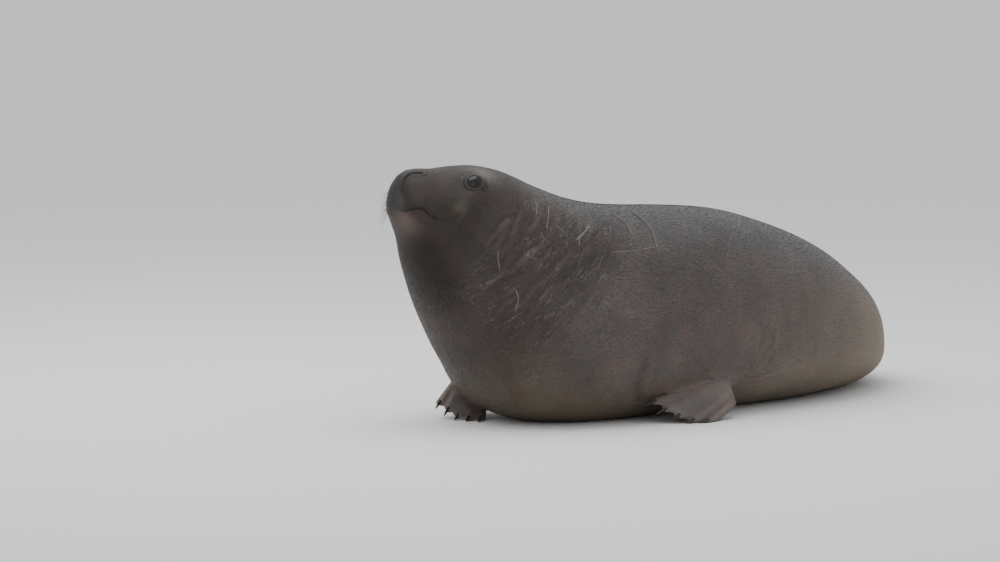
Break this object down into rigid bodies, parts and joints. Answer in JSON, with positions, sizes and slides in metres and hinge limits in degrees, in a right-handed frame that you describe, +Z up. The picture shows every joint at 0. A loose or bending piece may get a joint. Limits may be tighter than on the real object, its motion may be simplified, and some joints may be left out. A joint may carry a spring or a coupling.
{
  "type": "elephant seal",
  "caption": "Life-size elephant seal resting on its belly with chest and head raised on the fore flippers and the hindquarters swung to its right.",
  "frame": {"origin": "centre of the bounding box at floor level", "axes": "+Z up, -X the way the chest and head face, -Y the seal's left side"},
  "size_m": [2.4692, 1.3128, 0.8028],
  "materials": {
    "skin": "short wet fur, satin",
    "eye": "wet gloss",
    "claw": "satin horn"
  },
  "bodies": {
    "root": {"head": "skin", "neck": "skin", "chest": "skin", "loin": "skin", "hindquarters": "skin", "tail": "skin", "fore_flipper_left": "skin", "fore_flipper_right": "skin", "hind_flipper_left": "skin", "hind_flipper_right": "skin", "eye_left": "eye", "eye_right": "eye", "claw_left_1": "claw", "claw_left_2": "claw", "claw_left_3": "claw", "claw_left_4": "claw", "claw_left_5": "claw", "claw_right_1": "claw", "claw_right_2": "claw", "claw_right_3": "claw", "claw_right_4": "claw", "claw_right_5": "claw"}
  },
  "joints": []
}
